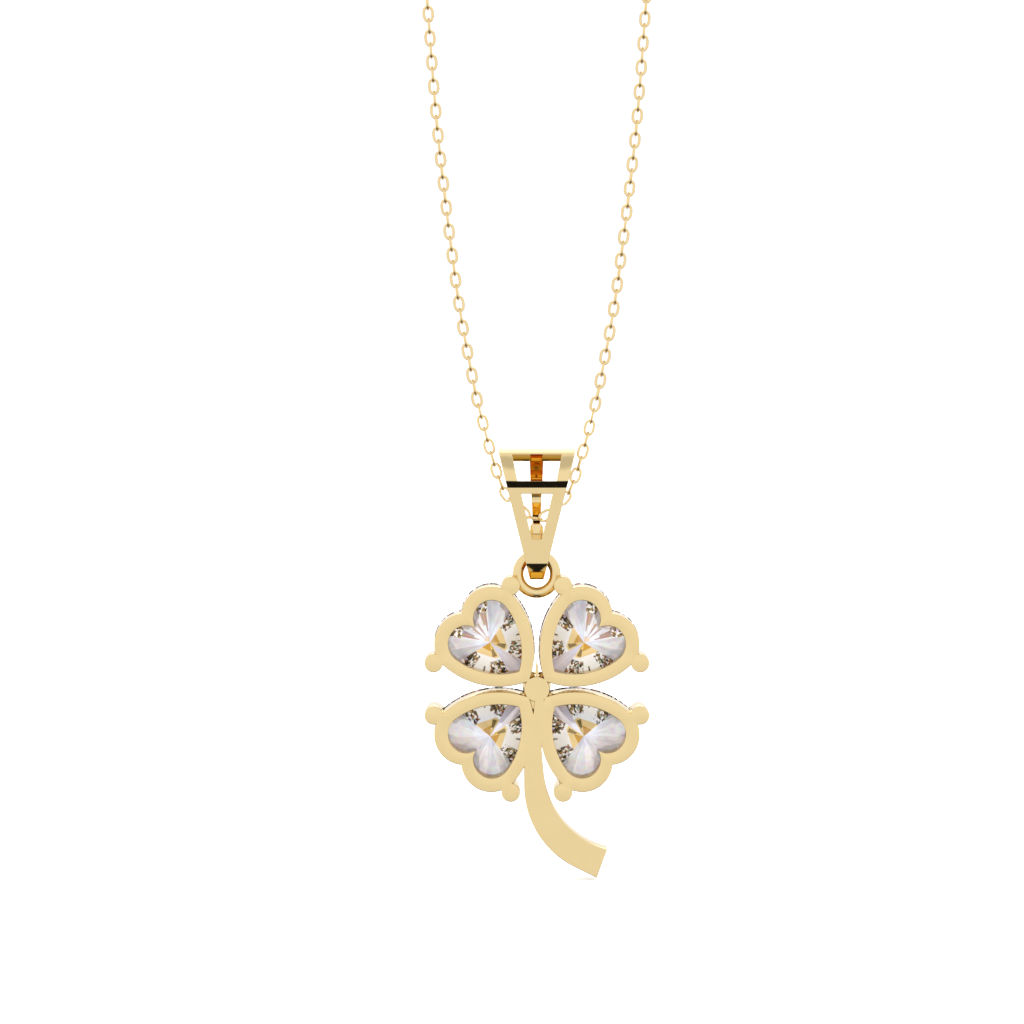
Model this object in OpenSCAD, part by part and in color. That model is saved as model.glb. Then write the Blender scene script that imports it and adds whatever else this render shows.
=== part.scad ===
/* [Clover setting] */
// Distance from the clover's centre to the middle of each heart's lobes
lobe_out = 5.42; // [5.3:0.01:5.6]
// Half the spacing of a heart's two lobes
lobe_half = 1.24; // [1.2:0.01:1.3]
// Radius of a lobe, at the outside of the gold frame
lobe_r = 1.97; // [1.9:0.01:2]
// Radius of a heart's long side, at the outside of the gold frame
side_r = 5.46; // [5.4:0.01:5.5]
// Depth of the four gold frames, from the flat back to the stones
frame_deep = 2.35; // [2.2:0.05:2.4]
// Radius of the eight outer prongs
prong_r = 0.6; // [0.55:0.01:0.65]
// Length of the prongs up to where their tips round over
prong_deep = 2.9; // [2.8:0.05:3]
// Distance of the prongs from the clover's nearer and farther axes
prong_near = 1.7; // [1.65:0.01:1.75]
prong_far = 6.71; // [6.6:0.01:6.8]
// Radius of the post that joins the four frames
post_r = 0.82; // [0.75:0.01:0.9]
// Depth of the stem
stem_deep = 1.6; // [1.2:0.1:1.8]

/* [Heart stones] */
// Depth of the lowest point of a stone's pavilion, from the flat back
culet_y = 0.05; // [0:0.01:0.1]
// Depth at which the girdle starts
girdle_y = 2.55; // [2.5:0.01:2.6]
// Thickness of the girdle
girdle_t = 0.1; // [0.06:0.01:0.12]
// Height of the crown above the girdle
crown_h = 0.85; // [0.7:0.05:0.95]
// How far the girdle stands outside the gold frame
girdle_over = 0.06; // [0.02:0.01:0.08]
// Gap between a stone and its seat
seat_gap = 0.05; // [0.03:0.01:0.06]

/* [Ring and bail] */
// Radius of the hanging ring, to the middle of its wire
ring_r = 1.22; // [1.2:0.01:1.25]
// Radius of the ring's wire
ring_wire_r = 0.36; // [0.3:0.01:0.38]
// Height of the ring's centre above the clover's centre
ring_up = 7.39; // [7.3:0.01:7.45]
// Height of the bail's flat lower end above the clover's centre
bail_foot = 7.05; // [7:0.01:7.1]
// Half width of the bail at its lower end
bail_foot_half = 0.445; // [0.4:0.005:0.46]
// How much the bail's half width grows with each millimetre of height
bail_flare = 0.246; // [0.23:0.002:0.25]
// Outer radius of the bail's arch, seen from the side
arch_r = 2.1; // [2:0.05:2.2]
// Thickness of the bail's arch
arch_t = 0.36; // [0.32:0.01:0.4]
// Radius of the eye that holds the ring
eye_r = 0.62; // [0.58:0.01:0.62]

/* [Chain] */
// Width of the chain's links
chain_w = 0.7; // [0.6:0.05:0.8]
// Length of the barrel clasp between the chain's ends
clasp_l = 8; // [7.5:0.1:8]
// Radius of the barrel clasp
clasp_r = 1.1; // [0.9:0.05:1.2]

/* [Hidden] */

// The object hangs from the origin: the clover's centre is this far below it
drop = 226;
// Depth of the ring, the bail and the chain, in front of the clover's flat back
hang_y = 1.6;

// Angles, in the x-z plane, at which the four hearts point
heart_turn = [45, 135, 225, 315];

// A heart's long side joins its lobe at this angle past square
side_turn = 5;
// The opening behind each stone: lobe centre, lobe radius, side radius and turn
open_out = 5.34;
open_half = 1.17;
open_lobe_r = 1.27;
open_side_r = 4.8;
open_turn = 8;

// Stem, in the x-z plane: the straight root, the round outer and inner edges, and the flared end
stem_root_z = -5.3;
stem_root = [[-0.12, -0.6], [-0.22, -1.5], [-0.76, stem_root_z], [0.43, stem_root_z], [0.34, -3.8],
             [0.34, -0.6]];
stem_outer = [5.05, -6.27];
stem_outer_r = 5.88;
stem_inner = [6, -5.03];
stem_inner_r = 5.57;
stem_end = [[4.56, -10.42], [3.88, -12.24]];
stem_flare = [[2.6, -11.6], [3.6, -10.8]];

// Thin gold bars between the stones, round the post
divider_t = 0.17;
divider_l = 3.2;

// Stone: steps round half of the outline, and how far in each ring of corners lies
lobe_steps = 9;
side_steps = 7;
half_steps = lobe_steps + side_steps;
steps = 2 * half_steps;
mains = 8;
span = steps / mains;
culet_out = 4.31;
lower_in = 0.28;
star_in = 0.79;
table_in = 0.56;
star_up = 0.55;

// Bail, seen from the side: y from the ring's wire, z from the clover's centre
wire_z = ring_up + ring_r;
eye_z = wire_z + 0.12;
arch_y = -0.1;
arch_z = 13.55;
plate_t = 0.45;
plate_foot = [-1.15, 8.13];
plate_head = [-1.75, 13.12];
bridge_z = 9.73;
eye_wall = eye_r + 0.02;
under_half = 0.4;
tuck = [-0.75, 7.6];
far_wall = 1.02;
strap_half = 0.45;
strap_thin = 0.26;
shoulder_z = 10.45;
arch_front = 1.2;
upper_window = [[1.61, 15.26], [1.27, arch_z]];
lower_window = [[1.02, 12.7], [0.325, bridge_z]];
wide = 8;

// Chain: half of its route in the x-z plane, from the bail's eye up to the clasp
route_half = [
    [0.5, -214.85], [0.95, -214.5], [1.4, -214.05], [1.95, -213.5], [2.3, -212.8], [2.6, -212],
    [3.05, -210.5], [3.45, -209], [3.95, -207], [4.45, -204.5], [5, -201.5], [5.5, -198],
    [6, -194], [6.55, -189], [7.1, -182], [7.65, -174], [8.25, -164], [8.9, -150], [9.6, -135],
    [10.3, -115], [10.9, -95], [11.4, -75], [11.8, -55], [12.1, -35], [12.2, -20], [12.2, -13],
    [11.8, -9.3], [10.8, -6], [9.2, -3], [7, -0.6], [4.2, 1.1]];
route_foot = [0, -214.95];
tube_sides = 8;

// Lays a flat outline, drawn in x and z, from depth y0 to depth y1
module slab(y0, y1) {
    translate([0, y1, 0]) rotate([90, 0, 0]) linear_extrude(y1 - y0) children();
}

// Draws a profile, given in y and z, right across the bail
module across(half) {
    translate([-half, 0, 0]) rotate([90, 0, 90]) linear_extrude(2 * half) children();
}

// Sets a part of the pendant, drawn round the clover's centre, where it hangs
module hung() {
    translate([0, -hang_y, -drop]) children();
}

function polar(centre, r, a) = centre + r * [cos(a), sin(a)];

// Centre of the arc of a heart's long side
function side_centre(out, half, r, big_r, turn) =
    [out, half] + (big_r - r) * [sin(turn), -cos(turn)];

// Half of a heart: a round lobe, and a long side that runs in to the point
module half_heart(out, half, r, big_r, turn) {
    lobe = [out, half];
    join = polar(lobe, r + 1, 90 + turn);
    translate(lobe) circle(r, $fn = 64);
    intersection() {
        translate(side_centre(out, half, r, big_r, turn)) circle(big_r, $fn = 128);
        polygon([[0, 0], [0, join[1]], join, lobe, [out, 0]]);
    }
}

module heart(out, half, r, big_r, turn) {
    half_heart(out, half, r, big_r, turn);
    mirror([0, 1]) half_heart(out, half, r, big_r, turn);
}

module heart_frame() {
    slab(0, frame_deep) difference() {
        heart(lobe_out, lobe_half, lobe_r, side_r, side_turn);
        heart(open_out, open_half, open_lobe_r, open_side_r, open_turn);
    }
}

// Outline of a stone, as seen from its table, grown by a margin
stone_side = side_centre(lobe_out, lobe_half, lobe_r, side_r, side_turn);
function stone_r(grow) = lobe_r + girdle_over + grow;
function notch_angle(grow) = -asin(lobe_half / stone_r(grow));
function tip_angle(grow) =
    180 - asin(-stone_side[1] / (side_r + girdle_over + grow));
function half_outline(i, grow) =
    i <= lobe_steps
        ? polar([lobe_out, lobe_half], stone_r(grow),
                notch_angle(grow) + i / lobe_steps * (90 + side_turn - notch_angle(grow)))
        : polar(stone_side, side_r + girdle_over + grow,
                90 + side_turn
                + (i - lobe_steps) / side_steps * (tip_angle(grow) - 90 - side_turn));
function outline(i, grow) =
    let (k = (i + steps) % steps)
    k <= half_steps ? half_outline(k, grow)
                    : [half_outline(steps - k, grow)[0], -half_outline(steps - k, grow)[1]];
// A point part of the way from a stone's axis to its outline, at depth y
function stone_point(i, share, y, grow) =
    let (p = [culet_out, 0] + share * (outline(i, grow) - [culet_out, 0]))
    [p[0], y, p[1]];

// Heart brilliant: culet, pavilion mains and halves, girdle, crown halves, kites, stars, table
module heart_stone(grow = 0) {
    low = girdle_y - grow;
    top = girdle_y + girdle_t + grow;
    tip = culet_y - grow;
    table_y = top + crown_h;
    points = concat(
        [[culet_out, tip, 0]],
        [for (k = [0:mains - 1])
            stone_point(k * span + span / 2, lower_in, tip + 0.93 * lower_in * (low - tip), grow)],
        [for (i = [0:steps - 1]) stone_point(i, 1, low, grow)],
        [for (i = [0:steps - 1]) stone_point(i, 1, top, grow)],
        [for (k = [0:mains - 1])
            stone_point(k * span + span / 2, star_in, top + star_up * crown_h, grow)],
        [for (k = [0:mains - 1]) stone_point(k * span, table_in, table_y, grow)]);
    // First corner of each ring in that list
    lower = 1;
    belt = lower + mains;
    rim = belt + steps;
    star = rim + steps;
    table = star + mains;
    faces = concat(
        [for (k = [0:mains - 1]) each
            let (prev = (k + mains - 1) % mains, next = (k + 1) % mains, g = k * span)
            [[0, lower + k, belt + g], [0, belt + g, lower + prev],
             [table + k, rim + g, star + k], [table + k, star + prev, rim + g],
             [table + k, star + k, table + next]]],
        [for (i = [0:steps - 1]) each
            let (k = floor(i / span), j = (i + 1) % steps)
            [[lower + k, belt + j, belt + i],
             [belt + i, belt + j, rim + j, rim + i],
             [star + k, rim + i, rim + j]]],
        [[for (k = [0:mains - 1]) table + k]]);
    polyhedron(points, faces, convexity = 4);
}

module stone_at(turn) {
    color("white") hung() rotate([0, -turn, 0]) heart_stone();
}

// One outer prong: a round wire from the flat back, with a domed tip
module prong() {
    rotate([-90, 0, 0]) rotate_extrude($fn = 48)
        polygon([[0, 0], [prong_r, 0], [prong_r, prong_deep], [0.8 * prong_r, prong_deep + 0.22],
                 [0.4 * prong_r, prong_deep + 0.36], [0, prong_deep + 0.4]]);
}

// Bead of a prong's tip, pushed in over the edge of the stone
module claw() {
    sphere(0.5, $fn = 32);
}

module prongs() {
    claw_in = 0.3;
    for (side = [-1, 1], up = [-1, 1], high = [false, true]) {
        x = side * (high ? prong_near : prong_far);
        z = up * (high ? prong_far : prong_near);
        // The claw leans towards the middle of its own heart
        aim = [side, up] * culet_out / sqrt(2) - [x, z];
        lean = claw_in * aim / norm(aim);
        translate([x, 0, z]) prong();
        translate([x + lean[0], prong_deep - 0.05, z + lean[1]]) claw();
    }
}

// Post at the clover's centre, with the bars between the stones and a bead over their tips
module post() {
    bead_y = 2.55;
    slab(0, frame_deep) circle(post_r, $fn = 48);
    slab(0.3, 2.85) {
        square([divider_t, divider_l], center = true);
        square([divider_l, divider_t], center = true);
    }
    translate([0, bead_y, 0]) sphere(0.95, $fn = 48);
}

// Curved stem, thickest at its cut end
module stem() {
    slab(0, stem_deep) {
        polygon(stem_root);
        intersection() {
            difference() {
                translate(stem_outer) circle(stem_outer_r, $fn = 128);
                translate(stem_inner) circle(stem_inner_r, $fn = 128);
            }
            polygon([[-2, stem_root_z], [2, stem_root_z], stem_end[0], stem_end[1],
                     [2, -14], [-2, -14]]);
        }
        polygon(concat(stem_end, stem_flare));
    }
}

module ring() {
    translate([0, hang_y, ring_up]) rotate([90, 0, 0]) rotate_extrude($fn = 64)
        translate([ring_r, 0]) circle(ring_wire_r, $fn = 32);
}

module clover_setting() {
    color("#ead3a0") hung() {
        difference() {
            union() {
                for (turn = heart_turn) rotate([0, -turn, 0]) heart_frame();
                prongs();
                post();
            }
            for (turn = heart_turn) rotate([0, -turn, 0]) heart_stone(seat_gap);
        }
        stem();
        ring();
    }
}

// Half width of the bail at height z
function bail_half(z) = bail_foot_half + bail_flare * (z - bail_foot);
// Flat outline between two heights, from a list of [half width, height] rows
module taper(rows) {
    polygon(concat([for (row = rows) row], [for (i = [len(rows) - 1:-1:0]) [-rows[i][0], rows[i][1]]]));
}

module bail_outline() {
    slab(-wide, wide) taper([[bail_half(16), 16], [bail_foot_half, bail_foot]]);
}

// The upper half of the bail's arch, between two depths
module arch_profile(y0, y1) {
    intersection() {
        translate([arch_y, arch_z]) difference() {
            circle(arch_r, $fn = 96);
            circle(arch_r - arch_t, $fn = 96);
        }
        translate([y0, arch_z]) square([y1 - y0, arch_r + 1]);
    }
}

// Near arm of the bail: the arch, a flat plate, and the lower end tucked back under the ring
module near_profile() {
    arch_profile(-wide, arch_front);
    polygon([[-0.7, bail_foot], tuck, plate_foot, plate_head,
             [arch_y - arch_r, arch_z], [arch_y - arch_r + arch_t, arch_z],
             plate_head + [plate_t, 0], [-0.89, bridge_z], [-eye_wall, bridge_z],
             [-eye_wall, tuck[1]], [0.6, tuck[1]], [0.6, bail_foot]]);
}

// Far arm of the bail: a narrow strap that widens into the back of the ring's eye
module far_profile() {
    arch_profile(arch_front - 0.3, wide);
    polygon([[arch_y + arch_r - arch_t, arch_z], [arch_y + arch_r, arch_z], [0.85, 10.65],
             [far_wall, 9.6], [far_wall, 8.1], [0.6, bail_foot], [0.3, bail_foot],
             [0.3, tuck[1]], [eye_wall, tuck[1]], [eye_wall, 9.5], [0.45, 9.7], [0.45, 10.65]]);
}

module windows() {
    slab(-wide, 0.1) taper(upper_window);
    slab(-wide, -0.3) taper(lower_window);
}

module bail() {
    color("#ead3a0") hung() translate([0, hang_y, 0]) difference() {
        union() {
            difference() {
                intersection() {
                    across(wide) near_profile();
                    bail_outline();
                }
                windows();
            }
            intersection() {
                across(wide) far_profile();
                slab(-wide, wide) taper([[strap_half, 16], [strap_half, 14.7], [strap_thin, 10.65],
                                         [bail_foot_half, shoulder_z], [bail_foot_half, bail_foot]]);
            }
            across(under_half)
                polygon([[-0.68, bail_foot + 0.1], [-0.8, 8.2], [-0.95, bridge_z], [0.5, 10],
                         [0.8, 9.5], [0.8, 8.1], [0.5, bail_foot + 0.1]]);
        }
        translate([-wide, 0, eye_z]) rotate([0, 90, 0]) cylinder(r = eye_r, h = 2 * wide, $fn = 64);
    }
}

// Chain's envelope: a tube along the route, whose links lie inside it
route = concat(
    [for (i = [len(route_half) - 1:-1:0]) [-route_half[i][0], route_half[i][1]]],
    [route_foot],
    route_half);
function along(i) =
    let (a = route[max(i - 1, 0)], b = route[min(i + 1, len(route) - 1)])
    (b - a) / norm(b - a);
function tube_ring(i) =
    let (t = i == 0 || i == len(route) - 1 ? [1, 0] : along(i))
    [for (s = [0:tube_sides - 1])
        let (a = (s + 0.5) * 360 / tube_sides, across = chain_w / 2 * cos(a))
        [route[i][0] - t[1] * across, chain_w / 2 * sin(a), route[i][1] + t[0] * across]];
module chain() {
    rings = len(route);
    color("#e2c68e") polyhedron(
        [for (i = [0:rings - 1]) each tube_ring(i)],
        concat(
            [[for (s = [tube_sides - 1:-1:0]) s]],
            [for (i = [0:rings - 2], s = [0:tube_sides - 1])
                let (n = (s + 1) % tube_sides, a = i * tube_sides, b = a + tube_sides)
                [a + n, b + n, b + s, a + s]],
            [[for (s = [0:tube_sides - 1]) (rings - 1) * tube_sides + s]]),
        convexity = 6);
}

// Plain barrel clasp between the chain's two ends
module clasp() {
    end_r = 0.45;
    taper_l = 1.6;
    color("#ead3a0") translate([0, 0, clasp_r]) rotate([0, 90, 0]) rotate_extrude($fn = 48)
        polygon([[0, -clasp_l / 2], [end_r, -clasp_l / 2], [clasp_r, -clasp_l / 2 + taper_l],
                 [clasp_r, clasp_l / 2 - taper_l], [end_r, clasp_l / 2], [0, clasp_l / 2]]);
}

clover_setting();
stone_at(heart_turn[0]);  // stone_upper_right
stone_at(heart_turn[1]);  // stone_upper_left
stone_at(heart_turn[2]);  // stone_lower_left
stone_at(heart_turn[3]);  // stone_lower_right
bail();
chain();
clasp();
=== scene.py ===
import math
import random

import bpy
from mathutils import Matrix, Vector


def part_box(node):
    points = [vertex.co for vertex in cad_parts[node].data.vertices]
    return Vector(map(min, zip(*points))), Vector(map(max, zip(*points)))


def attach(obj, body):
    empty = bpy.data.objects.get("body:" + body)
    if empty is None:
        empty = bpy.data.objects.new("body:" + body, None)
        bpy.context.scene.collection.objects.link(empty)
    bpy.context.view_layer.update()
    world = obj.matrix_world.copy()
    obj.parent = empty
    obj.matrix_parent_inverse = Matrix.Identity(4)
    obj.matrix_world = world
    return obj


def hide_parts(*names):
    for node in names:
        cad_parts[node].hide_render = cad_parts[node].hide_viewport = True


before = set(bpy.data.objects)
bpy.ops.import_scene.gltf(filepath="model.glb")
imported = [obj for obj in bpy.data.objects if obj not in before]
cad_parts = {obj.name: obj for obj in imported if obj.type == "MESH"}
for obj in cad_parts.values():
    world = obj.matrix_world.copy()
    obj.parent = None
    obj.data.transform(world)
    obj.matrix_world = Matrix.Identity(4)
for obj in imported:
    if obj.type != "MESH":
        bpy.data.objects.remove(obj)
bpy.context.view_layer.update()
random.seed(7)

mm = 0.001  # pieces are modelled in millimetres, then brought to metres
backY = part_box("clover_setting")[0].y / mm  # the clover's flat back
hangY = -backY  # depth of the ring's wire, in front of the back
tipBelow = 12.24  # the stem's tip, below the clover's centre
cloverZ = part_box("clover_setting")[0].z / mm + tipBelow
culetOut = 4.31  # the culet's distance from the clover's centre
weldMm = 0.001  # corners closer than this become one
print("frame loaded")


# Selecting and editing

def objectMode():
    bpy.ops.object.mode_set(mode="OBJECT")


def makeActive(piece, *others):
    if bpy.context.mode != "OBJECT":
        objectMode()
    bpy.ops.object.select_all(action="DESELECT")
    for other in others:
        other.select_set(True)
    piece.select_set(True)
    bpy.context.view_layer.objects.active = piece


def editWhere(piece, kind, wanted):
    # Opens a piece for editing, with the faces, edges or corners that are wanted selected
    makeActive(piece)
    bpy.ops.object.mode_set(mode="EDIT")
    bpy.ops.mesh.select_mode(type=kind)
    bpy.ops.mesh.select_all(action="DESELECT")
    objectMode()
    parts = {"FACE": piece.data.polygons, "EDGE": piece.data.edges, "VERT": piece.data.vertices}
    for part in parts[kind]:
        part.select = wanted(part)
    bpy.ops.object.mode_set(mode="EDIT")


def applyPlace(piece):
    makeActive(piece)
    bpy.ops.object.transform_apply(location=True, rotation=True, scale=True)


def applyStep(piece, kind, **settings):
    makeActive(piece)
    step = piece.modifiers.new("step", kind)
    for name, value in settings.items():
        setattr(step, name, value)
    bpy.ops.object.modifier_apply(modifier=step.name)


def newest(name):
    piece = bpy.context.active_object
    piece.name = name
    piece.data.name = name
    return piece


def placed(name):
    piece = newest(name)
    applyPlace(piece)
    return piece


def copyOf(piece):
    twin = piece.copy()
    twin.data = piece.data.copy()
    bpy.context.scene.collection.objects.link(twin)
    return twin


def flatShape(name, corners):
    # One flat face through the corners, in their order
    bpy.ops.mesh.primitive_circle_add(vertices=len(corners), radius=1, fill_type="NGON")
    piece = newest(name)
    for corner, place in zip(piece.data.vertices, corners):
        corner.co = place
    return piece


def faceOutwards():
    bpy.ops.mesh.select_all(action="SELECT")
    bpy.ops.mesh.normals_make_consistent(inside=False)
    objectMode()


def extrudeFlat(piece, way):
    # A flat face or ring, carried along a way into a solid
    editWhere(piece, "FACE", lambda face: True)
    bpy.ops.mesh.extrude_region_move(TRANSFORM_OT_translate={"value": way})
    faceOutwards()


def combine(piece, others, operation):
    # Adds or cuts a group of solids in one step, then clears them away
    group = bpy.data.collections.new("group")
    for other in others:
        group.objects.link(other)
    applyStep(piece, "BOOLEAN", operation=operation, operand_type="COLLECTION", collection=group,
              solver="EXACT")
    for other in others:
        bpy.data.objects.remove(other)
    bpy.data.collections.remove(group)


def tidyMesh(piece, weld):
    # Welds doubled corners and clears what that leaves without a face
    editWhere(piece, "VERT", lambda corner: True)
    bpy.ops.mesh.remove_doubles(threshold=weld)
    bpy.ops.mesh.dissolve_degenerate(threshold=weld / 3)
    bpy.ops.mesh.select_all(action="SELECT")
    bpy.ops.mesh.delete_loose()
    faceOutwards()


def softenRim(piece, edge):
    # Rounds the thin edge between the flat back and the walls
    onBack = {face.index for face in piece.data.polygons if face.normal.y < -0.99}
    uses = {}
    for face in piece.data.polygons:
        for key in face.edge_keys:
            uses.setdefault(key, set()).add(face.index in onBack)
    editWhere(piece, "EDGE", lambda line: len(uses[line.key]) == 2)
    bpy.ops.mesh.bevel(offset=edge, segments=3, profile=0.5, clamp_overlap=False, affect="EDGES")
    objectMode()


def toPlace(piece, place=(0, 0, 0)):
    # From millimetres round the piece's own origin to metres in the frame
    piece.data.transform(Matrix.Scale(mm, 4) @ Matrix.Translation(place))
    piece.data.update()


def finishPiece(piece, body, material, smoothAngle, flatFaces=True):
    makeActive(piece)
    bpy.ops.object.shade_smooth_by_angle(angle=math.radians(smoothAngle))
    if flatFaces:  # the broad faces stay flat up to their rounded edges
        applyStep(piece, "WEIGHTED_NORMAL", keep_sharp=True)
    piece.data.materials.clear()
    piece.data.materials.append(material)
    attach(piece, body)


# Materials

def linearColour(hexText):
    values = [int(hexText[i:i + 2], 16) / 255 for i in (1, 3, 5)]
    return [v / 12.92 if v <= 0.04045 else ((v + 0.055) / 1.055) ** 2.4 for v in values] + [1]


def addNode(tree, kind, settings=None, inputs=None, links=None):
    node = tree.nodes.new(kind)
    for name, value in (settings or {}).items():
        setattr(node, name, value)
    for name, value in (inputs or {}).items():
        node.inputs[name].default_value = value
    for name, socket in (links or {}).items():
        tree.links.new(socket, node.inputs[name])
    return node


def mixColours(tree, below, above, share):
    # Each of the two is a hex colour or a socket that gives one
    mix = addNode(tree, "ShaderNodeMix", {"data_type": "RGBA"}, links={"Factor": share})
    for socket, colour in ((mix.inputs[6], below), (mix.inputs[7], above)):
        if isinstance(colour, str):
            socket.default_value = linearColour(colour)
        else:
            tree.links.new(colour, socket)
    return mix.outputs[2]


def fillRamp(ramp, stops):
    while len(ramp.elements) < len(stops):
        ramp.elements.new(0.5)
    for element, (position, colour) in zip(ramp.elements, stops):
        element.position = position
        element.color = colour


def newMaterial(name):
    material = bpy.data.materials.new(name)
    material.use_nodes = True
    material.node_tree.nodes.clear()
    return material, material.node_tree


yellowGoldLook = {
    "bright": "#ead3a0",
    "deep": "#e6cd97",
    "roughness": (0.05, 0.11),
    "cloudMm": 1.6,  # size of the faint clouds that hand buffing leaves
    "grainMm": 0.06,  # buffing grain, drawn as coarse as it needs to show
    "grainDepthMm": 0.0006,
    "grainStrength": 0.35,
    # painted reflection and shade: tones that stand in for gold seen in gold, deeper with each
    # reflection and down to near black for painted shade, picked by the
    # "inside" attribute, and the amount at which they take over
    "paintedReflectionAndShade": ((0, "#ead3a0"), (0.4, "#f8b93a"), (0.8, "#c4620c"), (1, "#1c1209")),
    "paintedReflectionFrom": 0.3,
    # painted glow: a faint emission in the deep tone stands in for light that neighbouring pieces
    # throw at each other
    "between": 0,  # light that neighbouring pieces throw at each other
}
chainGoldLook = {
    **yellowGoldLook,
    "bright": "#e9d09b",
    "deep": "#e2c58c",
    "roughness": (0.14, 0.2),
    "grainMm": 0.03,
    "grainDepthMm": 0.0003,
    # painted glow: a faint emission for light that the links throw at each other
    "between": 0.1,
}


def polishedYellowGold(name, look):
    # 14 carat yellow gold, cast and buffed: clear warm reflections, with a faint unevenness of
    # the polish; deeper tones painted where gold faces gold, as painted reflection and painted
    # shade, and a faint painted glow
    material, tree = newMaterial(name)
    place = addNode(tree, "ShaderNodeTexCoord").outputs["Object"]
    clouds = addNode(tree, "ShaderNodeTexNoise",
                     inputs={"Scale": 1 / (look["cloudMm"] * mm), "Detail": 3, "Roughness": 0.6},
                     links={"Vector": place}).outputs["Fac"]
    grain = addNode(tree, "ShaderNodeTexNoise",
                    inputs={"Scale": 1 / (look["grainMm"] * mm), "Detail": 2},
                    links={"Vector": place})
    tone = mixColours(tree, look["deep"], look["bright"], clouds)
    # painted reflection and shade: the "inside" attribute picks deeper tones, down to near black,
    # for faces that look at other gold
    inside = addNode(tree, "ShaderNodeAttribute", {"attribute_name": "inside"}).outputs["Fac"]
    paintedReflectionAndShade = addNode(tree, "ShaderNodeValToRGB", links={"Fac": inside})
    fillRamp(paintedReflectionAndShade.color_ramp, [(at, linearColour(colour)) for at, colour in look["paintedReflectionAndShade"]])
    share = addNode(tree, "ShaderNodeMapRange", inputs={"From Max": look["paintedReflectionFrom"]},
                    links={"Value": inside}).outputs["Result"]
    low, high = look["roughness"]
    polish = addNode(tree, "ShaderNodeMapRange", inputs={"To Min": low, "To Max": high},
                     links={"Value": clouds})
    relief = addNode(tree, "ShaderNodeBump",
                     inputs={"Strength": look["grainStrength"],
                             "Distance": look["grainDepthMm"] * mm},
                     links={"Height": grain.outputs["Fac"]})
    # painted glow: the emission, in the deep tone, stands in for bounce light from neighbouring
    # pieces
    shader = addNode(tree, "ShaderNodeBsdfPrincipled",
                     inputs={"Metallic": 1, "Emission Color": linearColour(look["deep"]),
                             "Emission Strength": look["between"]},
                     links={"Base Color": mixColours(tree, tone, paintedReflectionAndShade.outputs["Color"], share),
                            "Roughness": polish.outputs["Result"],
                            "Normal": relief.outputs["Normal"]})
    addNode(tree, "ShaderNodeOutputMaterial", links={"Surface": shader.outputs["BSDF"]})
    return material


outwards = 9  # millimetres, past every stone's edge
diamondLook = {
    "ior": 2.417,
    # painted light return: the near-white painted over the pavilion where no flash lies, and over
    # the crown
    "white": "#f9fcff",
    "crown": "#f8f7fc",
    "crownFrom": 2.66,  # depth at which the crown starts
    "clearBelow": 0.36,  # how far light passes straight in, below and above the girdle
    "clearAbove": 1.0,
    # painted glow: how much of the light gathered through the crown is painted back as a glow, near
    # the culet and at the girdle
    "paintedReturnGlow": (0.0, 0.28),
    "paintedReturnGlowDeep": 2.4,
    "softDegrees": 0.7,  # half the width of each flash's soft edge
    "softMm": 0.03,
    # painted reflections and painted shade, for what the pavilion throws back: degrees from the
    # tip's direction, mm from the culet, colour, and for some a straight far side, as its direction
    # and distance
    "paintedFlashes": (
        ((0, 13), (0, outwards), "#c0bbcb"),
        ((101, 122), (0, outwards), "#c3c7d3"),
        ((122, 140), (0, outwards), "#b9bdcb"),
        ((13, 101), (0, 1.16), "#eaca86", (64, 0.95)),
        ((38, 101), (0, 0.9), "#bd830a", (72, 0.55)),
        ((13, 30), (0, 0.5), "#cda220"),
        ((19, 36), (0.5, 1.05), "#715a2b"),
        ((55, 58.5), (1.72, 2.3), "#5f4c2c"),
        ((24, 30), (1.35, 2.1), "#5c5a40"),
        ((92, 101), (1.12, 1.5), "#1d1a14"),
    ),
    # painted reflections: brown and white petals towards the notch, in the upper stones alone
    "paintedNotchReflections": (
        ((140, 180), (0, outwards), "#e3e3eb"),
        ((143, 150), (0.7, 1.95), "#8a4d17"),
        ((150, 156), (1.1, 1.9), "#7d5426"),
        ((168, 175), (0.35, 1.4), "#8c5f22"),
        ((143, 180), (0, 0.4), "#cc9c48"),
    ),
    # painted reflection: one pale lilac tone over the same place in the lower stones
    "paintedLowerNotchReflection": ((140, 180), (0, outwards), "#cdcad8"),  # the same place in the lower stones
    # size of the painted streaks and painted sparkle: along a degree and a millimetre, and a jump
    # that makes the lower stones' different from the upper stones'
    "spread": (0.12, 2.7, 7),
    # painted fire: faint streaks of the spectrum, running out from the culet
    "paintedFire": {"scale": 1.1, "strength": 1.5, "degrees": (99, 181), "share": 0.16},
    # painted shade: darker streaks among them, drawn out towards the girdle
    "paintedShadeStreaks": {"colour": "#9d97ab", "drawnOut": 0.35, "scale": 0.9, "levels": (0.48, 0.56),
              "degrees": (101, 181), "share": 0.38},
    # painted sparkle: where dark and bright flecks stand in for glints and dark reflections, their
    # size, and their colours
    "paintedSparkleZones": (((13, 45), (1.36, outwards)), ((77, 101), (1.18, outwards))),
    "paintedSparkleZonesUpper": (((140, 160), (1.9, outwards)),),
    "paintedSparkleScale": 2.3,
    "paintedSparkle": ((0, "#0d0b08"), (0.28, "#8f6f30"), (0.38, "#ffffff"), (0.5, "#8e4f22"),
               (0.58, "#f6f2fc"), (0.7, "#8fa08c"), (0.77, "#33302a"), (0.88, "#ffffff"),
               (0.95, "#b9a6d6")),
    "girdle": (2.3, 2.72),
}


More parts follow.
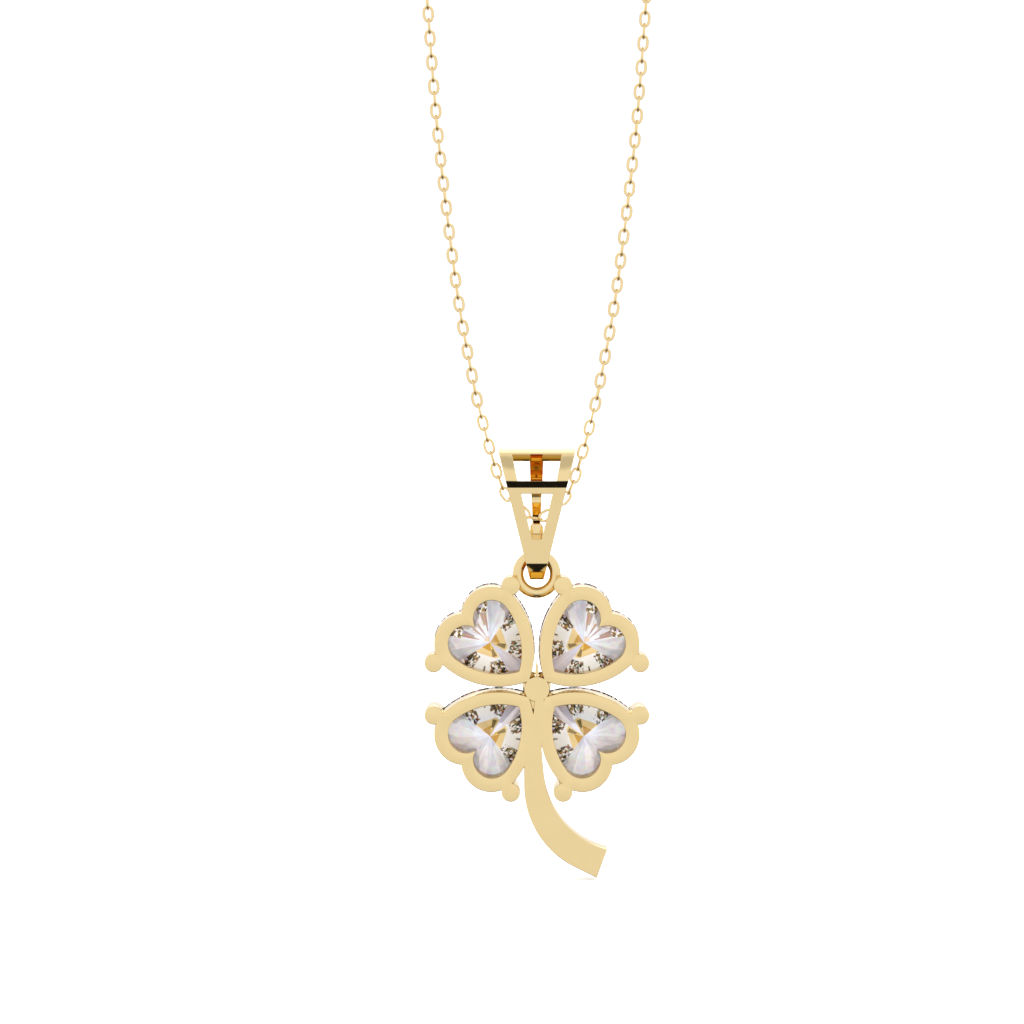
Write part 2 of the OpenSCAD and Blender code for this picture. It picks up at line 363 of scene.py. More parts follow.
def brilliantCutDiamond(name, look):
    # Colourless diamond: clear glass of a high index, mixed with painted colour over its pavilion:
    # painted reflections of the lilac, white and gold flashes that each facet throws back, painted
    # shade, painted fire and painted sparkle of dark and bright flecks towards the girdle, and a
    # painted glow
    material, tree = newMaterial(name)

    def amount(operation, *values):
        node = tree.nodes.new("ShaderNodeMath")
        node.operation = operation
        for socket, value in zip(node.inputs, values):
            if isinstance(value, (int, float)):
                socket.default_value = value
            else:
                tree.links.new(value, socket)
        return node.outputs["Value"]

    def times(first, second):
        return amount("MULTIPLY", first, second)

    def within(source, span, soft):  # 1 between the span's ends and 0 outside
        rise, fall = (addNode(tree, "ShaderNodeMapRange",
                              inputs={"From Min": end - soft, "From Max": end + soft},
                              links={"Value": source}).outputs["Result"] for end in span)
        return amount("SUBTRACT", rise, fall)

    def zone(degrees, distance):
        return times(within(angle, degrees, look["softDegrees"]),
                     within(reach, distance, look["softMm"]))

    place = addNode(tree, "ShaderNodeAttribute", {"attribute_name": "cutPlace"})
    parts = addNode(tree, "ShaderNodeSeparateXYZ", links={"Vector": place.outputs["Vector"]})
    lower = addNode(tree, "ShaderNodeAttribute", {"attribute_name": "lowerStone"}).outputs["Fac"]
    upper = amount("SUBTRACT", 1, lower)
    x, depth, z = parts.outputs["X"], parts.outputs["Y"], parts.outputs["Z"]
    aside, back = amount("ABSOLUTE", z), times(x, -1)
    angle = times(amount("ARCTAN2", aside, back), 180 / math.pi)
    reach = amount("SQRT", amount("ADD", times(x, x), times(z, z)))
    perDegree, perMm, jump = look["spread"]
    polar = addNode(tree, "ShaderNodeCombineXYZ", links={
        "X": times(amount("ARCTAN2", z, back), 180 / math.pi * perDegree),
        "Y": times(reach, perMm), "Z": times(lower, jump)}).outputs["Vector"]

    # painted light return as the near-white ground, then painted reflections and painted shade, one
    # flash after another
    tone = look["white"]
    for degrees, distance, colour, *farSide in look["paintedFlashes"]:
        share = zone(degrees, distance)
        for direction, far in farSide:
            turn = math.radians(direction)
            along = amount("SUBTRACT", times(aside, math.sin(turn)), times(x, math.cos(turn)))
            share = times(share, within(along, (-outwards, far), look["softMm"]))
        tone = mixColours(tree, tone, colour, share)
    # painted reflections towards the notch: petals in the upper stones, one pale tone in the lower
    for degrees, distance, colour in look["paintedNotchReflections"]:
        tone = mixColours(tree, tone, colour, times(zone(degrees, distance), upper))
    degrees, distance, colour = look["paintedLowerNotchReflection"]
    tone = mixColours(tree, tone, colour, times(zone(degrees, distance), lower))

    # painted fire: streaks of the spectrum mixed in towards the notch
    paintedFire = look["paintedFire"]
    streaks = addNode(tree, "ShaderNodeTexNoise",
                      inputs={"Scale": paintedFire["scale"], "Detail": 2}, links={"Vector": polar})
    spectrum = addNode(tree, "ShaderNodeHueSaturation",
                       inputs={"Saturation": paintedFire["strength"], "Value": paintedFire["strength"],
                               "Fac": 1},
                       links={"Color": streaks.outputs["Color"]})
    tone = mixColours(tree, tone, spectrum.outputs["Color"],
                      times(within(angle, paintedFire["degrees"], 1), paintedFire["share"]))

    # painted shade: darker streaks, drawn out towards the girdle
    paintedShadeStreaks = look["paintedShadeStreaks"]
    low, high = paintedShadeStreaks["levels"]
    drawnOut = addNode(tree, "ShaderNodeVectorMath", {"operation": "MULTIPLY"}, links={0: polar})
    drawnOut.inputs[1].default_value = (1, paintedShadeStreaks["drawnOut"], 1)
    lines = addNode(tree, "ShaderNodeTexNoise",
                    inputs={"Scale": paintedShadeStreaks["scale"], "Detail": 1, "Roughness": 0.5},
                    links={"Vector": drawnOut.outputs["Vector"]})
    shaded = addNode(tree, "ShaderNodeMapRange",
                     inputs={"From Min": low, "From Max": high, "To Max": paintedShadeStreaks["share"]},
                     links={"Value": lines.outputs["Fac"]})
    tone = mixColours(tree, tone, paintedShadeStreaks["colour"],
                      times(shaded.outputs["Result"], within(angle, paintedShadeStreaks["degrees"], 1)))

    # painted sparkle: dark and bright flecks over the girdle and the listed zones
    cells = addNode(tree, "ShaderNodeTexVoronoi",
                    inputs={"Scale": look["paintedSparkleScale"], "Randomness": 1}, links={"Vector": polar})
    pick = addNode(tree, "ShaderNodeSeparateColor", links={"Color": cells.outputs["Color"]})
    paintedSparkle = addNode(tree, "ShaderNodeValToRGB", links={"Fac": pick.outputs[0]})
    paintedSparkle.color_ramp.interpolation = "CONSTANT"
    fillRamp(paintedSparkle.color_ramp, [(at, linearColour(colour)) for at, colour in look["paintedSparkle"]])
    share = within(depth, look["girdle"], 0.02)
    for degrees, distance in look["paintedSparkleZones"]:
        share = amount("MAXIMUM", share, zone(degrees, distance))
    for degrees, distance in look["paintedSparkleZonesUpper"]:
        share = amount("MAXIMUM", share, times(zone(degrees, distance), upper))
    tone = mixColours(tree, tone, paintedSparkle.outputs["Color"], share)

    # the crown: a painted near-white tint, and clear glass all through
    front = within(depth, (look["crownFrom"], outwards), 0.01)
    tone = mixColours(tree, tone, look["crown"], front)
    clear = addNode(tree, "ShaderNodeMapRange",
                    inputs={"To Min": look["clearBelow"], "To Max": look["clearAbove"]},
                    links={"Value": front})
    # painted glow on the pavilion alone, growing from the culet towards the girdle
    low, high = look["paintedReturnGlow"]
    paintedReturnGlow = addNode(tree, "ShaderNodeMapRange",
                       inputs={"From Max": look["paintedReturnGlowDeep"], "To Min": low, "To Max": high},
                       links={"Value": depth})
    glow = times(paintedReturnGlow.outputs["Result"], amount("SUBTRACT", 1, front))
    shader = addNode(tree, "ShaderNodeBsdfPrincipled",
                     inputs={"Roughness": 0, "IOR": look["ior"]},
                     links={"Base Color": tone, "Emission Color": tone, "Emission Strength": glow,
                            "Transmission Weight": clear.outputs["Result"]})
    addNode(tree, "ShaderNodeOutputMaterial", links={"Surface": shader.outputs["BSDF"]})
    return material


yellowGold = polishedYellowGold("polishedYellowGold", yellowGoldLook)
chainGold = polishedYellowGold("drawnYellowGoldWire", chainGoldLook)
diamond = brilliantCutDiamond("brilliantCutDiamond", diamondLook)
print("materials made")


# Camera, where the photo's was

cameraPlace = {"x": -1.62, "away": 184.7, "above": 20.1, "lens": 100, "sensor": 36,
               "rise": -0.129, "clip": (0.01, 20)}
bpy.ops.object.camera_add(
    location=(cameraPlace["x"] * mm, (backY - cameraPlace["away"]) * mm,
              (cloverZ + cameraPlace["above"]) * mm),
    rotation=(math.pi / 2, 0, 0))
camera = bpy.context.active_object
camera.data.lens = cameraPlace["lens"]
camera.data.sensor_width = cameraPlace["sensor"]
camera.data.shift_y = cameraPlace["rise"]
camera.data.clip_start, camera.data.clip_end = cameraPlace["clip"]
bpy.context.scene.camera = camera


# Outlines, in the plane of the clover's back

def arcPoints(centre, radius, fromDegrees, toDegrees, steps):
    span = toDegrees - fromDegrees
    turns = [math.radians(fromDegrees + span * i / steps) for i in range(steps + 1)]
    return [(centre[0] + radius * math.cos(t), centre[1] + radius * math.sin(t)) for t in turns]


def heartCircles(shape, originX=0):
    # Half of a heart: the centres of its round lobe and of the long side's arc, and the way
    # that the outline faces where they join
    lean = math.radians(shape["turn"])
    facing = Vector((-math.sin(lean), math.cos(lean)))
    lobe = Vector((shape["out"] - originX, shape["half"]))
    return lobe, lobe - (shape["sideR"] - shape["lobeR"]) * facing, facing


def tipTurn(side, shape):
    # Where the side's arc meets the middle line, as an angle round the arc's centre
    return math.pi - math.asin(-side.y / shape["sideR"])


# Heart stones, cut as a cutter does: a blank, then one flat after another

stoneSizes = {
    "shape": {"out": 5.42, "half": 1.24, "lobeR": 2.03, "sideR": 5.52, "turn": 5},
    "lobeSteps": 14, "sideSteps": 10,
    "culetY": 0.05, "girdleY": 2.55, "girdleTop": 2.65, "tableY": 3.5,
    "spare": 0.02,  # how far the blank passes the culet and the table
    # pavilion mains run from the culet to the girdle; angles are read from the notch round to
    # the tip
    "mains": ((180, 0.58), (120, 0.85), (74, 0.668), (50, 0.657), (30, 0.657), (10, 0.657)),
    "lowerHalves": ((168, 1.07), (150, 1.12), (137, 1.1), (104, 1.1), (90, 1.14), (77, 1.1),
                    (53, 1.06), (30, 1.08), (2, 1.14), (-16, 1.2), (-30, 1.3)),
    # crown: direction and slope in degrees of the kites and the halves beside the girdle
    "kites": ((180, 27), (146, 34), (106, 34), (70, 34), (35, 34), (0, 34)),
    "upperHalves": ((163, 39), (155, 41), (136, 41), (124, 42), (112, 41), (96, 41), (85, 42),
                    (76, 41), (58, 41), (48, 41), (26, 41), (12, 41), (-14, 44), (-28, 46)),
    # stars: direction and slope, and how far down the crown they start
    "stars": ((163, 20, 0.33), (126, 20, 0.33), (88, 20, 0.33), (52, 20, 0.33), (18, 20, 0.33)),
    "kiteSlope": 34, "starOut": 0.12,
    "weld": 0.0005,
}


def reachAlong(degrees, shape):
    # How far half of the outline stands out from the culet, measured square to a flat
    lobe, side = heartCircles(shape, culetOut)[:2]
    turn = math.radians(degrees)
    facing = Vector((math.cos(turn), math.sin(turn)))
    if turn <= math.pi / 2 + math.radians(shape["turn"]):
        return lobe.dot(facing) + shape["lobeR"]
    tip = tipTurn(side, shape)
    if turn <= tip:
        return side.dot(facing) + shape["sideR"]
    return (side.x + shape["sideR"] * math.cos(tip)) * facing.x


def halfBlank(sizes):
    # Half of the stone's outline, as deep as the whole stone
    shape = sizes["shape"]
    lobe, side = heartCircles(shape)[:2]
    notch = -math.degrees(math.asin(shape["half"] / shape["lobeR"]))
    join, tip = 90 + shape["turn"], math.degrees(tipTurn(side, shape))
    outline = arcPoints(lobe, shape["lobeR"], notch, join, sizes["lobeSteps"])
    outline += arcPoints(side, shape["sideR"], join, tip, sizes["sideSteps"])[1:]
    outline[0] = (outline[0][0], 0)
    outline[-1] = (outline[-1][0], 0)
    low = sizes["culetY"] - sizes["spare"]
    piece = flatShape("heartStone", [(x, low, z) for x, z in outline])
    extrudeFlat(piece, (0, sizes["tableY"] - sizes["culetY"] + 2 * sizes["spare"], 0))
    return piece


def cutFlat(piece, point, facing):
    editWhere(piece, "FACE", lambda face: True)
    bpy.ops.mesh.bisect(plane_co=point, plane_no=facing, use_fill=True, clear_outer=True,
                        threshold=0.00001)
    objectMode()


def cutFromGirdle(piece, degrees, slope, depth, downwards, reach):
    # One flat whose edge would lie along the girdle, square to a direction
    turn = math.radians(degrees)
    point = (culetOut + reach * math.cos(turn), depth, reach * math.sin(turn))
    facing = (math.cos(turn) * math.sin(slope), downwards * math.cos(slope),
              math.sin(turn) * math.sin(slope))
    cutFlat(piece, point, facing)


def heartStone(sizes):
    piece = halfBlank(sizes)
    shape, tableY, girdleTop = sizes["shape"], sizes["tableY"], sizes["girdleTop"]
    deep, crown = sizes["girdleY"] - sizes["culetY"], tableY - girdleTop
    for degrees, steepness in sizes["mains"]:
        cutFromGirdle(piece, degrees, math.atan(steepness), sizes["culetY"], -1, 0)
    for degrees, steeper in sizes["lowerHalves"]:
        reach = reachAlong(degrees, shape)
        cutFromGirdle(piece, degrees, math.atan(steeper * deep / reach), sizes["girdleY"], -1,
                      reach)
    cutFlat(piece, (0, tableY, 0), (0, 1, 0))
    for degrees, slope in sizes["kites"] + sizes["upperHalves"]:
        cutFromGirdle(piece, degrees, math.radians(slope), girdleTop, 1,
                      reachAlong(degrees, shape))
    kiteRun = crown / math.tan(math.radians(sizes["kiteSlope"]))
    for degrees, slope, drop in sizes["stars"]:
        reach = reachAlong(degrees, shape) - kiteRun * (1 - drop) + sizes["starOut"]
        cutFromGirdle(piece, degrees, math.radians(slope), tableY - drop * crown, 1, reach)
    editWhere(piece, "FACE", lambda face: abs(face.center.z) < 0.00001
              and abs(face.normal.z) > 0.99)  # the wall between the two halves
    bpy.ops.mesh.delete(type="FACE")
    objectMode()
    applyStep(piece, "MIRROR", use_axis=(False, False, True), merge_threshold=sizes["weld"])
    tidyMesh(piece, sizes["weld"])
    return piece


stoneTurns = {"stone_upper_right": 45, "stone_upper_left": 135, "stone_lower_left": 225,
              "stone_lower_right": 315}
blank = heartStone(stoneSizes)
stones = {}
for node, turn in stoneTurns.items():
    stone = copyOf(blank)
    stone.name = node.replace("stone_", "heartStone_")
    # the material finds its place on the cut from these two
    stone.data.attributes.new("cutPlace", "FLOAT_VECTOR", "POINT")
    for corner, spot in zip(stone.data.vertices, stone.data.attributes["cutPlace"].data):
        spot.vector = corner.co - Vector((culetOut, 0, 0))
    stone.data.attributes.new("lowerStone", "FLOAT", "POINT")
    for low in stone.data.attributes["lowerStone"].data:
        low.value = 1 if turn > 180 else 0
    stone.data.transform(Matrix.Rotation(math.radians(-turn), 4, "Y"))
    stones[node] = stone
bpy.data.objects.remove(blank)
print("heart stones:", len(stones["stone_upper_left"].data.polygons), "flats each")


# Clover setting

settingSizes = {
    "heart": {"out": 5.42, "half": 1.24, "lobeR": 1.97, "sideR": 5.46, "turn": 5},
    "opening": {"out": 5.3, "half": 1.16, "lobeR": 1.21, "sideR": 4.8, "turn": 8},
    "corners": 160, "frameDeep": 2.35,
    "prongR": 0.6, "prongNear": 1.7, "prongFar": 6.71, "prongLong": 3.3, "prongRound": 0.4,
    "clawR": 0.5, "clawIn": 0.3, "clawY": 2.85,
    "postR": 0.82, "beadR": 0.95, "beadY": 2.55,
    "barWide": 0.17, "barTall": 3.2, "barAcross": 1.4, "barFrom": 0.3, "barTo": 2.85,
    "webPlace": (-0.2, 1.9, -1.2), "webSize": (0.5, 0.7, 1.5),
    "ringR": 1.22, "ringWireR": 0.36, "ringUp": 7.39,
    # the stem's outline: down its left side, round the outer edge to the cut tip, and back
    # round the inner edge and up its right side; each arc is a centre, a radius and two angles
    "stemLeft": ((-0.12, -0.6), (-0.22, -1.5), (-0.82, -4.8), (-0.835, -5.4)),
    "stemOuter": ((5.05, -6.27), 5.88, 178, 245.3),
    "stemTip": (3.88, -tipBelow),
    "stemInner": ((6, -5.03), 5.57, 255.1, 184),
    "stemRight": ((0.37, -4.7), (0.315, -4), (0.3, -3.3), (0.46, -2.5), (0.46, -0.6)),
    "stemSteps": 40, "stemDeep": 1.6,
    "seatGrow": 1.014, "edge": 0.05,
}


def circleReach(origin, direction, centre, radius):
    # How far a line from origin runs before it leaves a circle
    offset = centre - origin
    along = offset.dot(direction)
    return along + math.sqrt(along * along - offset.length_squared + radius * radius)


def heartPoint(angle, shape):
    # The outline's point at an angle round the culet: a round lobe, then a long side to the tip
    lobe, side, facing = heartCircles(shape)
    join = lobe + shape["lobeR"] * facing
    direction = Vector((math.cos(angle), abs(math.sin(angle))))
    onLobe = math.atan2(direction.y, direction.x) <= math.atan2(join.y, join.x - culetOut)
    centre, radius = (lobe, shape["lobeR"]) if onLobe else (side, shape["sideR"])
    reach = circleReach(Vector((culetOut, 0)), direction, centre, radius)
    return culetOut + reach * math.cos(angle), 0, reach * math.sin(angle)


def heartFrame(turn, sizes):
    bpy.ops.mesh.primitive_circle_add(vertices=sizes["corners"], radius=1, fill_type="NOTHING")
    piece = newest("heartFrame")
    for i, corner in enumerate(piece.data.vertices):
        corner.co = heartPoint(i * math.tau / sizes["corners"], sizes["heart"])
    editWhere(piece, "VERT", lambda corner: True)
    bpy.ops.mesh.extrude_edges_move()
    objectMode()
    for corner in piece.data.vertices:
        if corner.select:
            angle = math.atan2(corner.co.z, corner.co.x - culetOut)
            corner.co = heartPoint(angle, sizes["opening"])
    extrudeFlat(piece, (0, sizes["frameDeep"], 0))
    softenRim(piece, sizes["edge"])
    piece.rotation_euler = (0, math.radians(-turn), 0)
    applyPlace(piece)
    return piece


def postAlongY(name, corners, radius, depth, x, z, edge):
    # A round post that runs in from the flat back, with its near rim rounded
    bpy.ops.mesh.primitive_cylinder_add(vertices=corners, radius=radius, depth=depth,
                                        location=(x, depth / 2, z), rotation=(math.pi / 2, 0, 0))
    piece = placed(name)
    softenRim(piece, edge)
    return piece


def prong(x, z, sizes):
    # A round wire with a domed tip, and the bead that is pushed over the stone
    wire = postAlongY("prong", 64, sizes["prongR"], sizes["prongLong"], x, z, sizes["edge"])
    editWhere(wire, "FACE", lambda face: face.normal.y > 0.9)
    bpy.ops.mesh.bevel(offset=sizes["prongRound"], segments=6, profile=0.5)
    objectMode()
    culet = Vector((math.copysign(1, x), math.copysign(1, z))) * culetOut / math.sqrt(2)
    lean = (culet - Vector((x, z))).normalized() * sizes["clawIn"]
    bpy.ops.mesh.primitive_uv_sphere_add(segments=32, ring_count=16, radius=sizes["clawR"],
                                         location=(x + lean.x, sizes["clawY"], z + lean.y))
    return [wire, placed("claw")]


def centrePost(sizes):
    # The round post with its bead, two crossed bars, and the web under the post, which shows
    # through the gap beside the stem's root
    post = postAlongY("post", 72, sizes["postR"], sizes["frameDeep"], 0, 0, sizes["edge"])
    bpy.ops.mesh.primitive_uv_sphere_add(segments=48, ring_count=24, radius=sizes["beadR"],
                                         location=(0, sizes["beadY"], 0))
    pieces = [post, placed("bead")]
    deep = sizes["barTo"] - sizes["barFrom"]
    middle = (0, sizes["barFrom"] + deep / 2, 0)
    for name, place, size in (
            ("bar", middle, (sizes["barWide"], deep, sizes["barTall"])),
            ("bar", middle, (sizes["barAcross"], deep, sizes["barWide"])),
            ("web", sizes["webPlace"], sizes["webSize"])):
        bpy.ops.mesh.primitive_cube_add(size=1, location=place)
        pieces.append(newest(name))
        pieces[-1].scale = size
        applyPlace(pieces[-1])
    return pieces


def curvedStem(sizes):
    # The root runs up to the post; the two round edges part towards the flared, cut end
    outline = [*sizes["stemLeft"], *arcPoints(*sizes["stemOuter"], sizes["stemSteps"]),
               sizes["stemTip"], *arcPoints(*sizes["stemInner"], sizes["stemSteps"]),
               *sizes["stemRight"]]
    piece = flatShape("stem", [(x, 0, z) for x, z in outline])
    extrudeFlat(piece, (0, sizes["stemDeep"], 0))
    softenRim(piece, sizes["edge"])
    return piece


def hangingRing(sizes):
    bpy.ops.mesh.primitive_torus_add(
        major_radius=sizes["ringR"], minor_radius=sizes["ringWireR"], major_segments=96,
        minor_segments=32, location=(0, hangY, sizes["ringUp"]), rotation=(math.pi / 2, 0, 0))
    return placed("ring")


def stoneCutter(stone, grow):
    # A copy of a stone, a little larger, round its own middle
    cutter = copyOf(stone)
    corners = [corner.co for corner in cutter.data.vertices]
    middle = sum(corners, Vector()) / len(corners)
    cutter.data.transform(
        Matrix.Translation(middle) @ Matrix.Scale(grow, 4) @ Matrix.Translation(-middle))
    return cutter


def cloverSetting(sizes):
    setting = heartFrame(45, sizes)
    solids = [heartFrame(turn, sizes) for turn in (135, 225, 315)]
    near, far = sizes["prongNear"], sizes["prongFar"]
    for x, z in ((near, far), (far, near)):
        for side in (1, -1):
            for up in (1, -1):
                solids += prong(side * x, up * z, sizes)
    solids += [*centrePost(sizes), curvedStem(sizes), hangingRing(sizes)]
    combine(setting, solids, "UNION")
    seats = [stoneCutter(stone, sizes["seatGrow"]) for stone in stones.values()]
    combine(setting, seats, "DIFFERENCE")
    tidyMesh(setting, weldMm)
    return setting


cloverPlace = Vector((0, backY, cloverZ))
clover = cloverSetting(settingSizes)
clover.name = "cloverSetting"
toPlace(clover, cloverPlace)
finishPiece(clover, "clover", yellowGold, 32)
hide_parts("clover_setting")
print("clover setting:", len(clover.data.polygons), "faces")

for node, stone in stones.items():
    toPlace(stone, cloverPlace)
    makeActive(stone)
    bpy.ops.object.shade_flat()
    stone.data.materials.append(diamond)
    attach(stone, "clover")
    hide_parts(node)


# Bail, as points in depth and height

bailSizes = {
    "footZ": 7.05, "footHalf": 0.445, "flare": 0.246,
    "archR": 2.1, "archT": 0.36, "archY": -0.1, "archZ": 13.55, "archEnds": (42, 60),
    "toeY": -0.42, "heelY": (0.3, 0.6),
    "plateT": 0.45, "plateFoot": (-1.15, 8.13), "plateHead": (-1.82, 13.12),
    "bridge": (-0.89, 9.73), "eyeR": 0.62, "eyeZ": 8.73, "eyeEdge": 0.64, "tuck": (-0.75, 7.6),
    # the strap behind: half its width at each height, where it bends, and its foot
    "strap": ((16, 0.45), (14.7, 0.45), (13.3, 0.4), (12.4, 0.32), (11, 0.28), (10.65, 0.27),
              (10.45, 0.445), (7, 0.445)),
    "strapBack": ((0.98, 12.3), (0.9, 12), (0.95, 11.6), (1.1, 11.2), (1.3, 10.85)),
    "strapT": 0.38,
    "strapFootOut": ((1.6, 10.65), (1.55, 10.45), (1.02, 9.6), (1.02, 8.1)),
    "strapFootIn": ((0.64, 9.5), (0.45, 9.7), (0.45, 10.45), (0.45, 10.65)),
    # windows: half the width at the top and at the bottom, and how deep the cutter goes
    "upperWindow": ((1.61, 15.26), (1.27, 13.55)), "upperTo": 0.1,
    "lowerWindow": ((1.02, 12.7), (0.325, 9.73)), "lowerTo": -0.3,
    # the block round the eye, under the near plate
    "block": ((-0.68, 7.15), (-0.8, 8.2), (-0.95, 9.73), (0.5, 10), (0.8, 9.5), (0.8, 8.1),
              (0.5, 7.15)),
    "blockHalf": 0.4,
    "edge": 0.045, "edgeFrom": 24,
    # painted reflection and shade: how deep the gold is painted at each height, on faces that look
    # back at the near plate from behind insideY, or that lie down under it, below underZ
    "paintedReflectionAndShade": ((7.1, 7.55, 0.48), (7.55, 7.9, 0.72), (10.9, 11.2, 1), (11.2, 11.95, 0.44),
                (12.95, 13.55, 0.8), (13.55, 13.8, 0.58), (13.8, 14.2, 0.8), (14.2, 14.4, 0.64),
                (14.4, 14.75, 0.76), (14.75, 16, 0.4)),
    "insideY": -0.1, "underZ": 8, "underY": -0.8,
}


def acrossProfile(name, profile, halfAt):
    # A side view, carried across to the half width that each height has
    piece = flatShape(name, [(-1, y, z) for y, z in profile])
    extrudeFlat(piece, (2, 0, 0))
    for corner in piece.data.vertices:
        corner.co.x *= halfAt(corner.co.z)
    return piece


def windowCutter(rows, toY):
    (topHalf, topZ), (lowHalf, lowZ) = rows
    fromY = -8
    piece = flatShape("window", [(x, fromY, z) for x, z in (
        (-topHalf, topZ), (-lowHalf, lowZ), (lowHalf, lowZ), (topHalf, topZ))])
    extrudeFlat(piece, (0, toY - fromY, 0))
    return piece


def strapHalf(z, rows):
    for (highZ, high), (lowZ, low) in zip(rows, rows[1:]):
        if z >= lowZ:
            return low + (high - low) * (z - lowZ) / (highZ - lowZ)
    return rows[-1][1]


def withHeights(line, levels):
    # The same line, with a point at each height where the width changes
    full = [line[0]]
    for a, b in zip(line, line[1:]):
        passed = [z for z in levels if min(a[1], b[1]) + 0.01 < z < max(a[1], b[1]) - 0.01]
        for z in sorted(passed, reverse=a[1] > b[1]):
            full.append((a[0] + (b[0] - a[0]) * (z - a[1]) / (b[1] - a[1]), z))
        full.append(b)
    return full


def paintReflectionAndShade(piece, sizes):
    # Marks the faces that see other gold, or lie under the near plate, with how deep their painted
    # reflection and shade is
    piece.data.attributes.new("inside", "FLOAT", "FACE")
    for face, mark in zip(piece.data.polygons, piece.data.attributes["inside"].data):
        middle = face.center
        lookingBack = face.normal.y < -0.2 and middle.y > sizes["insideY"]
        under = middle.z < sizes["underZ"] and middle.y > sizes["underY"]
        for low, high, depth in sizes["paintedReflectionAndShade"]:
            if (lookingBack or under) and low <= middle.z < high:
                mark.value = depth


def openworkBail(sizes):
    # A broad near arm with two windows, bent over at the top into a narrow strap behind
    out, arm = sizes["archR"], sizes["archR"] - sizes["archT"]
    middle = (sizes["archY"], sizes["archZ"])
    footZ, eyeEdge, tuck, head = (sizes[name] for name in ("footZ", "eyeEdge", "tuck", "plateHead"))
    nearEnd, strapEnd = sizes["archEnds"]
    heelIn, heelOut = sizes["heelY"]
    near = [(sizes["toeY"], footZ), tuck, sizes["plateFoot"], head,
            *arcPoints(middle, out, 180, nearEnd, 46), *arcPoints(middle, arm, nearEnd, 180, 46),
            (head[0] + sizes["plateT"], head[1]), sizes["bridge"], (-eyeEdge, sizes["bridge"][1]),
            (-eyeEdge, tuck[1]), (heelOut, tuck[1]), (heelOut, footZ)]
    piece = acrossProfile("openworkBail", near,
                          lambda z: sizes["footHalf"] + sizes["flare"] * (z - footZ))
    combine(piece, [windowCutter(sizes["upperWindow"], sizes["upperTo"]),
                    windowCutter(sizes["lowerWindow"], sizes["lowerTo"])], "DIFFERENCE")

    bends = sizes["strapBack"]
    outer = arcPoints(middle, out, strapEnd, 0, 20) + [(y + sizes["strapT"], z) for y, z in bends]
    inner = [*reversed(bends), *arcPoints(middle, arm, 0, strapEnd, 20)]
    heights = sorted({z for z, half in sizes["strap"]}, reverse=True)
    far = [*withHeights(outer, heights), *sizes["strapFootOut"], (heelOut, footZ), (heelIn, footZ),
           (heelIn, tuck[1]), (eyeEdge, tuck[1]), *sizes["strapFootIn"],
           *withHeights(inner, heights)]
    strap = acrossProfile("strap", far, lambda z: strapHalf(z, sizes["strap"]))
    block = acrossProfile("block", sizes["block"], lambda z: sizes["blockHalf"])
    combine(piece, [strap, block], "UNION")

    bpy.ops.mesh.primitive_cylinder_add(vertices=96, radius=sizes["eyeR"], depth=4,
                                        location=(0, 0, sizes["eyeZ"]),
                                        rotation=(0, math.pi / 2, 0))
    combine(piece, [placed("eye")], "DIFFERENCE")
    tidyMesh(piece, weldMm)
    applyStep(piece, "BEVEL", width=sizes["edge"], segments=3, limit_method="ANGLE",
              angle_limit=math.radians(sizes["edgeFrom"]), use_clamp_overlap=False)
    # painted reflection and shade on the faces that see other gold or lie under the near plate
    paintReflectionAndShade(piece, sizes)
    toPlace(piece, (0, 0, cloverZ))
    return piece


bail = openworkBail(bailSizes)
finishPiece(bail, "hanger", yellowGold, 21)
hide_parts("bail")
print("bail:", len(bail.data.polygons), "faces")


# Chain

chainSizes = {
    "linkLong": 1.16, "linkWide": 0.76, "wire": 0.18, "pitch": 0.797, "rollDegrees": 3,
    "around": 14, "wireSides": 6,
    # how far the links of each strand have slipped along it, over what length the one changes
    # into the other, and over what length they die out towards the clasp
    "slide": (-0.4, 0.07), "slideChange": 12, "slideFade": 100,
    # the right strand's middle line from the bail up to the clasp, across and up; the left
    # strand mirrors it
    "foot": (0, -214.95),
    "route": (
        (0.5, -214.85), (0.95, -214.5), (1.4, -214.05), (1.95, -213.5), (2.3, -212.8),
        (2.6, -212), (3.05, -210.5), (3.45, -209), (3.95, -207), (4.45, -204.5), (5, -201.5),
        (5.5, -198), (6, -194), (6.55, -189), (7.1, -182), (7.65, -174), (8.25, -164),
        (8.9, -150), (9.6, -135), (10.3, -115), (10.9, -95), (11.4, -75), (11.8, -55),
        (12.1, -35), (12.2, -20), (12.2, -13), (11.8, -9.3), (10.8, -6), (9.2, -3), (7, -0.6),
        (4.2, 1.1)),
    "routeStep": 0.1,
}


def smoothRoute(points, step):
    # Points a short step apart along one smooth curve through the route
    places = [Vector((x, 0, z)) for x, z in points]
    ends = [2 * places[0] - places[1]] + places + [2 * places[-1] - places[-2]]
    fine = []
    for before, start, stop, after in zip(ends, ends[1:], ends[2:], ends[3:]):
        span = (stop - start).length
        leave = (stop - before) * span / ((stop - start).length + (start - before).length)
        arrive = (after - start) * span / ((after - stop).length + (stop - start).length)
        count = max(2, round(span / step))
        for i in range(count):
            t = i / count
            fine.append((2 * t**3 - 3 * t**2 + 1) * start + (t**3 - 2 * t**2 + t) * leave
                        + (3 * t**2 - 2 * t**3) * stop + (t**3 - t**2) * arrive)
    fine.append(places[-1])
    return fine


